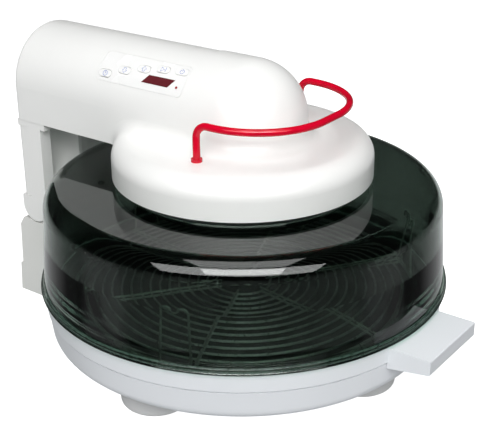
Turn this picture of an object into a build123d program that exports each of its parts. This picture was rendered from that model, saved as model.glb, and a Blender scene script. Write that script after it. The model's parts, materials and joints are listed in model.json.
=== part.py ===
from build123d import *
import os
from math import cos, sin, radians

# A round countertop oven and food dryer. A white base bowl stands on four feet and carries a smoked
# dome over a wire rack. A stand behind the base holds a power head on a hinge, with the motor, the
# heating coil, the hot-air impeller and the controls.
# Millimetres. Each piece is made with the origin on the axis of the dome at table level, +Z up, the
# front tab towards -Y and the stand towards +Y. When they are written out, all of them move by
# AXIS_Y, so that the origin is in the middle of the footprint.

# ---------------------------------------------------------------- driving dimensions
# overall sizes, which the others follow
BASE_R = 170.0            # outer radius at the groove
BASE_TOP = 69.5           # rim on which the dome flange rests
DOME_HEIGHT = 87.5        # from that rim to the flat top of the dome
ARM_HALF_WIDTH = 49.5
LEG_HALF_WIDTH = ARM_HALF_WIDTH - 0.5
DISC_R = ARM_HALF_WIDTH + 60.0  # disc of the power head
LEG_FRONT_Y = BASE_R + 20.5  # front face of the leg, clear of the dome
STAND_TOP = BASE_TOP + 11.0  # top of the fixed stand

# base bowl
BASE_DRAFT = 3.0          # how much smaller the bottom radius is
BASE_BOTTOM = 25.5        # underside of the bowl, above the table
BASE_WALL = 3.0
BASE_BOTTOM_ROUND = 10.0
GROOVE_Z = BASE_TOP - 16.8
GROOVE_SIZE = 1.2
BAND_PROUD = 1.0          # the band above the groove stands this much proud of the wall

# carrying tabs, one in front and a twin behind that plugs into the stand
TAB_WIDTH = 2 * ARM_HALF_WIDTH - 23.0
TAB_REACH = BASE_R + 33.0 # from the axis to the end of the tab
TAB_TOP = BASE_TOP - 3.5
TAB_THICK = 12.5
TAB_ROOT_DROP = 6.0       # how much deeper the tab is where it meets the wall
TAB_EDGE = 1.2

# feet
FOOT_R = 29.0
FOOT_PLACE_R = BASE_R - 49.0
FOOT_ROUND = 6.0
FOOT_SCREW_R = 2.0
FOOT_SCREW_HEAD_R = 4.0
FOOT_RECESS_R = 7.0
FOOT_FLOOR = 6.0          # plastic left between the screw head and the bowl

# dome
DOME_FLANGE_R = BASE_R + 5.0
DOME_R = BASE_R + 2.0     # wall radius just above the flange
DOME_SHOULDER_R = DOME_R - 5.0  # wall radius at the shoulder
DOME_TOP = BASE_TOP + DOME_HEIGHT
DOME_WALL = 2.5
DOME_SHOULDER_ROUND = 17.0
DOME_OPENING_R = DISC_R - 8.5
FLANGE_THICK = 2.0
FLANGE_GAP = 1.2
LOCATING_RING_DEPTH = 5.0

# drip pan and rack
PAN_WALL = 1.0
PAN_FLOOR_Z = BASE_BOTTOM + 11.5
PAN_RIM_Z = BASE_TOP - 9.5
PAN_RIM_WIDTH = 7.0
PAN_SLOPE = 9.0
RACK_Z = PAN_RIM_Z - 1.5  # middle of the ring wires
RACK_RIM_R = BASE_R - 22.0
RACK_RING_FIRST = 24.0
RACK_RING_COUNT = 15
RACK_WIRE_R = 1.0
RACK_RIM_WIRE_R = 1.75
RACK_SPOKES = 6
RACK_SPOKE_START = 22.0   # degrees
RACK_UPRIGHTS = 3
RACK_UPRIGHT_START = -44.0
RACK_UPRIGHT_TOP = 109.0
RACK_UPRIGHT_WIDTH = 26.0
RACK_UPRIGHT_DIP = 14.0   # how deep the middle of the M dips
RACK_BEND = 2.8           # bend radius of the welded wires

# power head disc
DISC_SKIRT_Z = DOME_TOP + 6.5
DISC_TOP = DISC_SKIRT_Z + 32.0
DISC_ROUND = 16.0
HEAD_WALL = 3.0

# arm over the disc, an arch on straight sides that ends in a round hump in front
ARM_SEAM_Z = DISC_SKIRT_Z + 16.0
ARM_SPRING_Z = ARM_SEAM_Z + 32.0  # where the straight sides turn into the arch
ARM_BACK_Y = LEG_FRONT_Y + 28.5
HUMP_Y = -6.0
ARM_BLEND = 12.0
ARM_BACK_ROUND = 5.0
ARCH_DROP = 0.9           # the arch behind the hump sits this much lower, which leaves a step
STEP_Y = 27.0             # where that step is
VENT_COUNT = 6
VENT_WIDTH = 52.0
VENT_HEIGHT = 3.0
VENT_PITCH = 8.0
VENT_Z = ARM_SEAM_Z + 12.5

# hinge
HINGE_Y = LEG_FRONT_Y + 15.0
HINGE_Z = STAND_TOP + 15.5
PIN_R = 4.0
BUSH_R = PIN_R + 2.5
KNUCKLE_R = BUSH_R + 9.5
RUNNING_FIT = 0.05
KNUCKLE_TOP = HINGE_Z + 9.0
PIN_CAP_R = PIN_R + 2.0
PIN_CAP_DEPTH = 2.5
LUG_X = LEG_HALF_WIDTH - 23.0  # middle of each stand lug
LUG_WIDTH = 8.0
LUG_R = PIN_R + 4.5
LUG_HALF = 5.0            # half the depth of a lug below the pin
LUG_CLEARANCE = 1.0       # each side of a lug, and around its end

# leg of the head, which stands on the hinge
LEG_SEAM_Y = LEG_FRONT_Y + 16.5  # joint between the front channel and the rear cover
LEG_WALL = 3.0
LIP_FRONT_Y = LEG_FRONT_Y - 5.5
LIP_BOTTOM_Z = ARM_SEAM_Z - 6.0
LIP_INSET = 0.6
FLUTE_WIDTH = 35.0
FLUTE_DEPTH = 9.0
FLUTE_BOTTOM = HINGE_Z + 20.0
RIB_WIDTH = 4.0
TRAY_THICK = 3.0
SHELL_FIT = 0.3           # gap between pieces that close over each other

# stand
STAND_FRONT_Y = LEG_FRONT_Y + 6.5
STAND_BACK_Y = STAND_FRONT_Y + 31.0
STAND_SEAM_Y = STAND_FRONT_Y + 11.0
STAND_WALL = 3.0
STAND_TOP_BACK_Y = STAND_BACK_Y - 5.3
STAND_TOP_SLOPE = 8.0
STAND_BOTTOM = 1.0
STAND_FOOT_Y = STAND_BACK_Y + 7.0
BRACKET_THICK = 3.0
BRACKET_Z = STAND_TOP - 10.5
INLET_R = 6.0
INLET_Z = 16.0
STAND_SCREW_X = LEG_HALF_WIDTH - 9.0
STAND_SCREW_Z = (18.0, 44.0)
SCREW_SEAT_Y = STAND_BACK_Y + 1.5
POST_END_Y = STAND_BACK_Y - 2.0
PLINTH_Z = 30.0
PLINTH_PROUD = 3.0
TAB_FIT = 0.4             # gap round the tab in the slot of the stand

# neck, coil and fan under the disc
NECK_R = DOME_OPENING_R - 9.0
NECK_BOTTOM = DOME_TOP - 11.0
NECK_WALL = 2.0
NECK_FLANGE_Z = DISC_SKIRT_Z + 3.0
SHIELD_Z = NECK_FLANGE_Z + 5.5
SHIELD_THICK = 1.2
COIL_R = NECK_R - 18.0
COIL_ROD_R = 3.25
COIL_Z = DOME_TOP
GUARD_THICK = 1.0
IMPELLER_R = COIL_R - 16.0
IMPELLER_BLADES = 8
SHAFT_R = 3.0
IMPELLER_Z0 = NECK_BOTTOM + 4.0
IMPELLER_Z1 = IMPELLER_Z0 + 15.5
COIL_OPENING = 20.0       # degrees left open between the ends of the coil
TERMINAL_R = 3.5
TERMINAL_X = 8.5
GUARD_SLOTS = 20
GUARD_RINGS = ((14.0, 36.0), (41.0, 60.0), (65.0, 84.0))
GUARD_SLOT_WIDTH = 3.0
LOWER_PLATE_Z = SHIELD_Z + 6.0
UPPER_PLATE_Z = LOWER_PLATE_Z + 34.0
COOLING_Z0 = UPPER_PLATE_Z + 5.0
BEARING_R = 6.0
STACK_HALF = 31.0
STACK_Z0 = LOWER_PLATE_Z + 6.0
STACK_Z1 = STACK_Z0 + 22.0
ROTOR_R = 15.0
AIR_GAP = 1.0
COOLING_FAN_R = 28.0

# controls, on the left upper flank of the arm
PANEL_Y0 = 29.0
PANEL_Y1 = 121.0
PANEL_ANGLE0 = 31.0       # degrees from the top of the arch
PANEL_ANGLE1 = 64.0
PANEL_THICK = 0.8
PANEL_CORNER = 4.0
PANEL_GAP = 0.15
WINDOW_Y = 56.0
WINDOW_LENGTH = 27.3
WINDOW_ANGLE = 52.6
WINDOW_HEIGHT = 7.2
WINDOW_SLANT = 5.6
KEY_COUNT = 5
KEY_Y0 = 37.1
KEY_Y1 = 112.7
KEY_ANGLE0 = 38.4
KEY_ANGLE_RISE = 17.6
KEY_CURVE = 1.75
KEY_LENGTH = 13.0
KEY_HEIGHT = 6.4
KEY_GAP = 0.35
KEY_PROUD = 0.3
KEY_DEPTH = 8.0           # end of the key's post behind the outer surface
WINDOW_PROUD = 0.15
LAMP_R = 1.1
LAMP_Y = 36.0
LAMP_ANGLE = 55.0
BOARD_ANGLE = 46.0
BOARD_DEPTH = 12.0
BOARD_THICK = 1.6
BOARD_LENGTH = 100.0
BOARD_WIDTH = 26.0

# screws and the posts that take them
SCREW_R = 1.6
SCREW_LENGTH = 9.0
POST_R = NECK_R + 5.0
POST_HALF = 4.0
BOSS_X = ARM_HALF_WIDTH - 8.5
BOSS_Y = (126.0, 176.0)
BOSS_HEIGHT = 16.0

# lift handle
HANDLE_WIRE_R = 3.0
HANDLE_X = DISC_R - 37.5
HANDLE_Y = -9.0
HANDLE_TOP = DISC_TOP + 30.5
HANDLE_BOTTOM = DISC_TOP - 8.5
HANDLE_BEND = 11.0
HANDLE_REACH = ARM_HALF_WIDTH + 27.5  # from the legs forward to the front of the loop
HANDLE_LOOP_R = HANDLE_X - 10.0

# thumb lever on the back of the leg
LEVER_HALF_WIDTH = 11.5
LEVER_TOP_Z = HINGE_Z + 32.0
LEVER_BOTTOM_Z = HINGE_Z + 10.2
LEVER_PROUD = 9.6
LEVER_PIN_Y = ARM_BACK_Y - 4.5
LEVER_PIN_Z = HINGE_Z + 14.0
LEVER_PIN_R = 1.5
LEVER_GAP = 0.8

ARCH_Z = ARM_SPRING_Z - ARCH_DROP
AXIS_Y = (TAB_REACH - STAND_FOOT_Y) / 2  # the dome axis, from the middle of the footprint


# ---------------------------------------------------------------- shape helpers
def box(x0, x1, y0, y1, z0, z1):
    """A box given by its two limits along each axis."""
    size = Box(x1 - x0, y1 - y0, z1 - z0)
    return Pos((x0 + x1) / 2, (y0 + y1) / 2, (z0 + z1) / 2) * size


def cylinder_z(radius, z0, z1, x=0.0, y=0.0):
    """An upright cylinder."""
    return Pos(x, y, (z0 + z1) / 2) * Cylinder(radius, z1 - z0)


def cylinder_x(radius, x0, x1, y, z):
    """A cylinder that lies along X."""
    return Pos((x0 + x1) / 2, y, z) * Rot(0, 90, 0) * Cylinder(radius, x1 - x0)


def cylinder_y(radius, y0, y1, x, z):
    """A cylinder that lies along Y."""
    return Pos(x, (y0 + y1) / 2, z) * Rot(90, 0, 0) * Cylinder(radius, y1 - y0)


def ring_z(outer, inner, z0, z1, x=0.0, y=0.0):
    """An upright tube."""
    return cylinder_z(outer, z0, z1, x, y) - cylinder_z(inner, z0 - 1, z1 + 1, x, y)


def rounded_outline(points):
    """A closed outline; a third number in a point is the radius of its corner."""
    corners = [(p[0], p[1]) for p in points]
    radii = [p[2] if len(p) > 2 else 0.0 for p in points]
    return FilletPolyline(*corners, radius=radii, close=True)


def turned(points):
    """A body turned about the Z axis from an outline of (radius, height, corner radius)."""
    face = make_face(Plane.XZ * rounded_outline(points))
    return revolve(face, Axis.Z, 360)


def slab_x(points, x0, x1):
    """An outline of (y, z, corner radius) carried along X from x0 to x1."""
    face = make_face(Plane.YZ * rounded_outline(points))
    return Pos(x0, 0, 0) * extrude(face, amount=x1 - x0, dir=(1, 0, 0))


def around(count, start=0.0):
    """Equally spaced angles in degrees."""
    return [start + 360.0 * i / count for i in range(count)]


def polar(radius, degrees):
    """A point on a circle about the origin."""
    return radius * cos(radians(degrees)), radius * sin(radians(degrees))


def fused(shapes):
    """One body from many that touch or overlap."""
    first, *rest = shapes
    return first.fuse(*rest).clean() if rest else first


def wire(points, radius, bend):
    """A round wire along straight runs with bends of one radius."""
    path = FilletPolyline(*points, radius=bend)
    start = path @ 0
    direction = path % 0
    section = Plane(origin=start, z_dir=direction) * Circle(radius)
    return sweep(section, path=path)


# ---------------------------------------------------------------- base bowl
def bowl_radius(z):
    """Outer radius of the bowl wall at a height; the wall leans out a little towards the rim."""
    return BASE_R - BASE_DRAFT * (GROOVE_Z - z) / (GROOVE_Z - BASE_BOTTOM)


def tab(side):
    """A carrying tab; side is -1 for the front tab and 1 for the one in the stand."""
    root = BASE_R - BASE_WALL - 1.0
    profile = [
        (side * root, TAB_TOP),
        (side * TAB_REACH, TAB_TOP, TAB_EDGE),
        (side * TAB_REACH, TAB_TOP - TAB_THICK, TAB_EDGE),
        (side * root, TAB_TOP - TAB_THICK - TAB_ROOT_DROP),
    ]
    plate = slab_x(profile, -TAB_WIDTH / 2, TAB_WIDTH / 2)
    inside = cylinder_z(BASE_R - BASE_WALL, 0, BASE_TOP)
    return plate - inside


def base_housing():
    """The bowl with its groove, screw bosses, pan ledge and two tabs."""
    band_r = BASE_R + BAND_PROUD
    inner_top = BASE_R - BASE_WALL
    floor = BASE_BOTTOM + BASE_WALL
    bowl = turned([
        (0, BASE_BOTTOM),
        (bowl_radius(BASE_BOTTOM), BASE_BOTTOM, BASE_BOTTOM_ROUND),
        (bowl_radius(GROOVE_Z - GROOVE_SIZE), GROOVE_Z - GROOVE_SIZE),
        (BASE_R - GROOVE_SIZE, GROOVE_Z - GROOVE_SIZE / 2),
        (band_r, GROOVE_Z + GROOVE_SIZE / 2),
        (band_r, BASE_TOP),
        (inner_top, BASE_TOP),
        (inner_top, PAN_RIM_Z),
        (inner_top - PAN_RIM_WIDTH, PAN_RIM_Z),
        (inner_top - PAN_RIM_WIDTH, PAN_RIM_Z - BASE_WALL),
        (bowl_radius(GROOVE_Z) - BASE_WALL, PAN_RIM_Z - 2 * BASE_WALL),
        (bowl_radius(BASE_BOTTOM) - BASE_WALL, floor, BASE_BOTTOM_ROUND - BASE_WALL),
        (0, floor),
    ])
    bosses = [cylinder_z(2.5 * FOOT_SCREW_R, floor - 0.5, floor + 5, *polar(FOOT_PLACE_R, a))
              for a in around(4)]
    bowl = fused([bowl, tab(-1), tab(1)] + bosses)
    for angle in around(4):
        bowl -= cylinder_z(FOOT_SCREW_R, BASE_BOTTOM - 1, floor + 6, *polar(FOOT_PLACE_R, angle))
    return bowl


def feet():
    """Four round feet, each with a recess for its screw head."""
    shapes = []
    for angle in around(4):
        x, y = polar(FOOT_PLACE_R, angle)
        foot = cylinder_z(FOOT_R, 0, BASE_BOTTOM, x, y)
        foot = fillet(foot.edges().sort_by(Axis.Z)[0], FOOT_ROUND)
        foot -= cylinder_z(FOOT_RECESS_R, -1, BASE_BOTTOM - FOOT_FLOOR, x, y)
        foot -= cylinder_z(FOOT_SCREW_R + 0.2, 0, BASE_BOTTOM + 1, x, y)
        shapes.append(foot)
    return shapes


def screw_z(x, y, seat_z, shank_r, head_r, shank_length, head_height, up=True):
    """A pan-head screw on a seat, pointing up or down."""
    sign = 1 if up else -1
    head = cylinder_z(head_r, *sorted((seat_z, seat_z - sign * head_height)), x, y)
    shank = cylinder_z(shank_r, *sorted((seat_z - sign * 0.5, seat_z + sign * shank_length)), x, y)
    slot = box(x - head_r, x + head_r, y - head_r / 8, y + head_r / 8,
               *sorted((seat_z - sign * head_height * 0.6, seat_z - sign * (head_height + 1))))
    return head + shank - slot


def foot_screws():
    """One screw up through each foot into the bowl's boss."""
    return [screw_z(*polar(FOOT_PLACE_R, a), BASE_BOTTOM - FOOT_FLOOR, FOOT_SCREW_R - RUNNING_FIT,
                    FOOT_SCREW_HEAD_R, FOOT_FLOOR + BASE_WALL + 4, 3.0) for a in around(4)]


# ---------------------------------------------------------------- dome, pan and rack
def dome():
    """The smoked dome: a double-line flange, a nearly upright wall and a flat top with a round opening."""
    line_top = BASE_TOP + FLANGE_THICK
    second_line = line_top + FLANGE_GAP
    second_top = second_line + FLANGE_THICK
    locating_r = BASE_R - BASE_WALL - 0.5
    mid_z = (second_top + DOME_TOP) / 2
    mid_r = DOME_SHOULDER_R + (DOME_R - DOME_SHOULDER_R) * 0.5
    return turned([
        (locating_r, BASE_TOP - LOCATING_RING_DEPTH),
        (locating_r, BASE_TOP),
        (DOME_FLANGE_R, BASE_TOP, 0.8),
        (DOME_FLANGE_R, line_top, 0.8),
        (DOME_R + 1.2, line_top),
        (DOME_R + 1.2, second_line),
        (DOME_R + 2.2, second_line, 0.8),
        (DOME_R + 2.2, second_top, 0.8),
        (DOME_R, second_top),
        (mid_r, mid_z),
        (DOME_SHOULDER_R, DOME_TOP, DOME_SHOULDER_ROUND),
        (DOME_OPENING_R, DOME_TOP),
        (DOME_OPENING_R, DOME_TOP - DOME_WALL),
        (DOME_SHOULDER_R - DOME_WALL, DOME_TOP - DOME_WALL, DOME_SHOULDER_ROUND - DOME_WALL),
        (mid_r - DOME_WALL, mid_z),
        (locating_r - DOME_WALL, second_top),
        (locating_r - DOME_WALL, BASE_TOP - LOCATING_RING_DEPTH),
    ])


def drip_pan():
    """The dark enamelled pan, hung by its rim on the ledge of the bowl."""
    rim_r = BASE_R - BASE_WALL - 1.5
    wall_r = BASE_R - BASE_WALL - PAN_RIM_WIDTH - 1.0
    floor_r = wall_r - PAN_SLOPE
    rim_top = PAN_RIM_Z + PAN_WALL
    floor_top = PAN_FLOOR_Z + PAN_WALL
    return turned([
        (0, PAN_FLOOR_Z),
        (floor_r, PAN_FLOOR_Z, 5.0),
        (wall_r, PAN_RIM_Z, 1.5),
        (rim_r, PAN_RIM_Z),
        (rim_r, rim_top),
        (wall_r - PAN_WALL, rim_top, 2.5),
        (floor_r - PAN_WALL, floor_top, 4.0),
        (0, floor_top),
    ])


def rack_ring(radius, half, z):
    """One closed ring of drawn wire with flattened sides."""
    return ring_z(radius + half, radius - half, z - half, z + half)


def rack_rim_half():
    """Half the thickness of the rim wire, whose sides are flattened."""
    return 0.9 * RACK_RIM_WIRE_R


def rack_upright(angle):
    """An M-shaped wire welded on top of the rim, which can carry a second rack."""
    half = RACK_UPRIGHT_WIDTH / 2
    top = RACK_UPRIGHT_TOP - RACK_WIRE_R
    x = RACK_RIM_R
    points = [
        (x, -half, RACK_Z),
        (x, -half + 2, top),
        (x, -half + 9, top),
        (x, 0, top - RACK_UPRIGHT_DIP),
        (x, half - 9, top),
        (x, half - 2, top),
        (x, half, RACK_Z),
    ]
    rim_top = RACK_Z + rack_rim_half()
    rim = box(x - 5, x + 5, -half - 5, half + 5, RACK_Z - 5, rim_top)
    return Rot(0, 0, angle) * (wire(points, RACK_WIRE_R, RACK_BEND) - rim)


def rack_uprights():
    """The uprights, spaced evenly around the rim."""
    return [rack_upright(angle) for angle in around(RACK_UPRIGHTS, RACK_UPRIGHT_START)]


def rack_foot(angle):
    """A V-shaped wire foot welded under the rim, which keeps the rack off the pan floor."""
    half = RACK_UPRIGHT_WIDTH / 2
    bottom = PAN_FLOOR_Z + PAN_WALL + RACK_WIRE_R
    x = RACK_RIM_R
    x_low = x - PAN_SLOPE - 2.0
    points = [(x, -half, RACK_Z), (x_low, -4, bottom), (x_low, 4, bottom), (x, half, RACK_Z)]
    rim_bottom = RACK_Z - rack_rim_half()
    rim = box(x - 5, x + 5, -half - 5, half + 5, rim_bottom, RACK_Z + 5)
    return Rot(0, 0, angle) * (wire(points, RACK_WIRE_R, RACK_BEND) - rim)


def rack_feet():
    """The feet, between the uprights."""
    start = RACK_UPRIGHT_START + 180 / RACK_UPRIGHTS
    return [rack_foot(angle) for angle in around(RACK_UPRIGHTS, start)]


def wire_rack():
    """Concentric rings between pairs of radial bars."""
    pitch = (RACK_RIM_R - RACK_RING_FIRST) / RACK_RING_COUNT
    half = 0.9 * RACK_WIRE_R
    weld = 0.3
    shapes = [rack_ring(RACK_RIM_R, rack_rim_half(), RACK_Z)]
    for i in range(RACK_RING_COUNT):
        shapes.append(rack_ring(RACK_RING_FIRST + pitch * i, half, RACK_Z))
    for angle in around(RACK_SPOKES, RACK_SPOKE_START):
        for side in (-1, 1):
            z = RACK_Z + side * (2 * half - weld)
            bar = box(RACK_RING_FIRST - 4, RACK_RIM_R, -half, half, z - half, z + half)
            shapes.append(Rot(0, 0, angle) * bar)
    return fused(shapes)


# ---------------------------------------------------------------- power head housing
def disc_solid(inset=0.0, bottom=DISC_SKIRT_Z):
    """The filled disc of the head, or the same disc set in by a wall."""
    r = DISC_R - inset
    top = DISC_TOP - inset
    return turned([(0, bottom), (r, bottom), (r, top, DISC_ROUND - inset), (0, top)])


def arm_solid(inset=0.0, bottom=ARM_SEAM_Z):
    """The filled arm: straight sides under an arch, closed in front by a round hump."""
    half = ARM_HALF_WIDTH - inset
    back = ARM_BACK_Y - inset
    below = half + ARCH_DROP + 1
    sides = box(-half, half, HUMP_Y, back, bottom, ARCH_Z)
    arch = cylinder_y(half, STEP_Y, back, 0, ARCH_Z)
    arch -= box(-half - 1, half + 1, STEP_Y - 1, back + 1, ARCH_Z - below, ARCH_Z)
    high = cylinder_y(half, HUMP_Y, STEP_Y, 0, ARM_SPRING_Z)
    high -= box(-half - 1, half + 1, HUMP_Y - 1, STEP_Y + 1, ARM_SPRING_Z - below, ARM_SPRING_Z)
    high += box(-half, half, HUMP_Y, STEP_Y, bottom, ARM_SPRING_Z)
    front = cylinder_z(half, bottom, ARM_SPRING_Z, 0, HUMP_Y)
    hump = Pos(0, HUMP_Y, ARM_SPRING_Z) * Sphere(half)
    hump -= box(-half - 1, half + 1, HUMP_Y - half - 1, HUMP_Y + half + 1,
                ARM_SPRING_Z - half - 1, ARM_SPRING_Z)
    return fused([sides, arch, high, front, hump])


def on_arch(radius, y, angle):
    """A point of the arch at an angle from its top, towards -X."""
    x = -radius * sin(radians(angle))
    z = ARCH_Z + radius * cos(radians(angle))
    return x, y, z


def on_flank(shape, y, angle, radius=ARM_HALF_WIDTH):
    """Carries a shape drawn at the origin (X = up the flank, Y = along the arm, Z = out) to the arch."""
    return Pos(*on_arch(radius, y, angle)) * Rot(0, -angle, 0) * shape


def flank_shell(y0, y1, angle0, angle1, inner, outer, corner=0.0):
    """A piece of the arch's own skin between two radii, two angles and two ends."""
    reach = 3 * outer
    corners = [(0, 0)] + [
        (-reach * sin(radians(a)), reach * cos(radians(a)))
        for a in (angle0, (angle0 + angle1) / 2, angle1)
    ]
    wedge = extrude(make_face(Plane.XZ * Polyline(*corners, close=True)), amount=y1 - y0, dir=(0, 1, 0))
    tube = cylinder_y(outer, y0 - 1, y1 + 1, 0, 0) - cylinder_y(inner, y0 - 2, y1 + 2, 0, 0)
    shell = Pos(0, 0, ARCH_Z) * (tube & (Pos(0, y0, 0) * wedge))
    if corner:
        shell = fillet(shell.edges().filter_by(
            lambda e: e.geom_type == GeomType.LINE and abs((e % 0).Y) < 0.1
            and abs(e.length - (outer - inner)) < 0.05), corner)
    return shell


def key_place(index):
    """Where a key sits: along the arm, and its angle from the top of the arch."""
    share = index / (KEY_COUNT - 1)
    return KEY_Y0 + (KEY_Y1 - KEY_Y0) * share, KEY_ANGLE0 + KEY_ANGLE_RISE * share ** KEY_CURVE


def key_shape(grow, z0, z1):
    """An upright pill with its long side along Y, bigger by grow all round."""
    length = KEY_LENGTH + 2 * grow
    height = KEY_HEIGHT + 2 * grow
    return Pos(0, 0, z0) * extrude(Rot(0, 0, 90) * SlotOverall(length, height), amount=z1 - z0)


def window_shape(grow, z0, z1):
    """The slanted window: a parallelogram with its long side along the arm."""
    half_l = WINDOW_LENGTH / 2 + grow
    half_h = WINDOW_HEIGHT / 2 + grow
    lean = WINDOW_SLANT / 2
    corners = [
        (half_h, -half_l - lean),
        (half_h, half_l - lean),
        (-half_h, half_l + lean),
        (-half_h, -half_l + lean),
    ]
    return Pos(0, 0, z0) * extrude(make_face(Polyline(*corners, close=True)), amount=z1 - z0)


def post_places():
    """Four posts inside the disc that carry the heat shield."""
    return [polar(POST_R, a) for a in around(4, 45)]


def boss_places():
    """Four screw blocks on the arm's side walls that hold the leg's tray."""
    return [(side * BOSS_X, y) for side in (-1, 1) for y in BOSS_Y]


def head_housing():
    """One moulded shell: the arm arch, the hump and the disc with its skirt."""
    outside = fused([disc_solid(), arm_solid()])
    top_edges = outside.edges().filter_by_position(Axis.Z, DISC_TOP - 0.1, DISC_TOP + 0.1)
    blend = [e for e in top_edges if e.center().Y < DISC_R and e.length < 2 * DISC_R]
    outside = fillet(blend, ARM_BLEND)
    back_rim = [e for e in outside.edges().filter_by_position(Axis.Y, ARM_BACK_Y - 0.1, ARM_BACK_Y + 0.1)
                if e.center().Z > ARM_SEAM_Z + 1]
    outside = fillet(back_rim, ARM_BACK_ROUND)
    cavity = fused([disc_solid(HEAD_WALL, DISC_SKIRT_Z - 1), arm_solid(HEAD_WALL, ARM_SEAM_Z - 1)])
    shell = outside - cavity
    inside = [cylinder_z(POST_HALF, SHIELD_Z + SHIELD_THICK, DISC_TOP - HEAD_WALL + 0.5, x, y)
              for x, y in post_places()]
    for x, y in boss_places():
        reach = ARM_HALF_WIDTH - HEAD_WALL / 2
        inside.append(box(*sorted((x - POST_HALF * (1 if x > 0 else -1), reach * (1 if x > 0 else -1))),
                          y - POST_HALF, y + POST_HALF, ARM_SEAM_Z + TRAY_THICK, ARM_SEAM_Z + BOSS_HEIGHT))
    for y in board_post_y():
        inside.append(on_flank(cylinder_z(POST_HALF - 1, -BOARD_DEPTH, -HEAD_WALL / 2), y, BOARD_ANGLE))
    shell = fused([shell] + inside)
    for x, y in post_places():
        shell -= cylinder_z(SCREW_R, SHIELD_Z, SHIELD_Z + SCREW_LENGTH + 1, x, y)
    for x, y in boss_places():
        shell -= cylinder_z(SCREW_R, ARM_SEAM_Z, ARM_SEAM_Z + BOSS_HEIGHT - 1, x, y)
    for y in board_post_y():
        shell -= on_flank(cylinder_z(SCREW_R, -BOARD_DEPTH - 1, -HEAD_WALL - 1), y, BOARD_ANGLE)
    shell -= flank_shell(PANEL_Y0, PANEL_Y1, PANEL_ANGLE0, PANEL_ANGLE1,
                         ARM_HALF_WIDTH - PANEL_THICK, ARM_HALF_WIDTH + 1, PANEL_CORNER)
    for index in range(KEY_COUNT):
        shell -= on_flank(key_shape(KEY_GAP, -HEAD_WALL - 2, 1), *key_place(index))
    shell -= on_flank(window_shape(-1.2, -HEAD_WALL - 2, 1), WINDOW_Y, WINDOW_ANGLE)
    shell -= on_flank(cylinder_z(LAMP_R + PANEL_GAP, -HEAD_WALL - 2, 1), LAMP_Y, LAMP_ANGLE)
    for hole in handle_rods(HANDLE_WIRE_R + RUNNING_FIT, DISC_TOP - 2 * HEAD_WALL, DISC_TOP + 1):
        shell -= hole
    for i in range(VENT_COUNT):
        z = VENT_Z + VENT_PITCH * i
        shell -= box(-VENT_WIDTH / 2, VENT_WIDTH / 2, ARM_BACK_Y - HEAD_WALL - 1, ARM_BACK_Y + 1,
                     z, z + VENT_HEIGHT)
    return shell


def control_overlay():
    """The thin printed sheet over the controls, flush in its recess."""
    sheet = flank_shell(PANEL_Y0 + PANEL_GAP, PANEL_Y1 - PANEL_GAP, PANEL_ANGLE0 + 0.2,
                        PANEL_ANGLE1 - 0.2, ARM_HALF_WIDTH - PANEL_THICK, ARM_HALF_WIDTH, PANEL_CORNER)
    for index in range(KEY_COUNT):
        sheet -= on_flank(key_shape(KEY_GAP, -HEAD_WALL, 1), *key_place(index))
    sheet -= on_flank(window_shape(PANEL_GAP, -HEAD_WALL, 1), WINDOW_Y, WINDOW_ANGLE)
    sheet -= on_flank(cylinder_z(LAMP_R + PANEL_GAP, -HEAD_WALL, 1), LAMP_Y, LAMP_ANGLE)
    return sheet


def display_window():
    """The dark red window, a plate with a lip that drops into the hole of the housing."""
    plate = window_shape(0, -PANEL_THICK + 0.15, WINDOW_PROUD)
    plug = window_shape(-1.2 - PANEL_GAP, -HEAD_WALL, -PANEL_THICK + 0.2)
    return on_flank(plate + plug, WINDOW_Y, WINDOW_ANGLE)


def key(index):
    """One key: a pill-shaped cap, a wider flange behind the wall and a post over its switch."""
    cap = key_shape(0, -HEAD_WALL - 1.2, KEY_PROUD)
    cap = fillet(cap.edges().group_by(Axis.Z)[-1], 0.25)
    flange = key_shape(1.0, -HEAD_WALL - 2.2, -HEAD_WALL - 1.0)
    post = cylinder_z(1.6, -KEY_DEPTH, -HEAD_WALL - 2)
    return on_flank(fused([cap, flange, post]), *key_place(index))


def board_post_y():
    """The two places along the arm where the board is screwed to its posts."""
    middle = (KEY_Y0 + KEY_Y1) / 2
    return middle - BOARD_LENGTH / 2 + 4, middle + BOARD_LENGTH / 2 - 4


def control_board():
    """The circuit board, flat below the keys."""
    middle = (KEY_Y0 + KEY_Y1) / 2
    half_w = BOARD_WIDTH / 2
    board = box(-half_w, half_w, -BOARD_LENGTH / 2, BOARD_LENGTH / 2,
                -BOARD_DEPTH - BOARD_THICK, -BOARD_DEPTH)
    board = on_flank(board, middle, BOARD_ANGLE)
    for y in board_post_y():
        board -= on_flank(cylinder_z(SCREW_R + 0.3, -BOARD_DEPTH - 5, -BOARD_DEPTH + 1), y, BOARD_ANGLE)
    return board


def on_board(shape, y, angle):
    """Places a shape on the board under a point of the flank; z = 0 is the board's top face."""
    up = ARM_HALF_WIDTH * sin(radians(BOARD_ANGLE - angle))
    return on_flank(Pos(up, 0, -BOARD_DEPTH) * shape, y, BOARD_ANGLE)


def key_switches():
    """A small push switch on the board under each key."""
    shapes = []
    for index in range(KEY_COUNT):
        y, angle = key_place(index)
        shapes.append(on_board(box(-2.5, 2.5, -2.5, 2.5, 0, 1.6) + cylinder_z(1.2, 1.2, 2.3), y, angle))
    return shapes


def display_module():
    """The block of digits on the board behind the window."""
    return on_board(box(-4, 4, -11.5, 11.5, 0, 5.5), WINDOW_Y, WINDOW_ANGLE)


def status_lamp():
    """The small indicator lamp beside the window, with its body behind the wall."""
    lens = cylinder_z(LAMP_R, -HEAD_WALL - 1, 0.1)
    body = cylinder_z(LAMP_R + 0.8, -HEAD_WALL - 3.0, -HEAD_WALL - 0.5)
    return on_flank(lens + body, LAMP_Y, LAMP_ANGLE)


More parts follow.
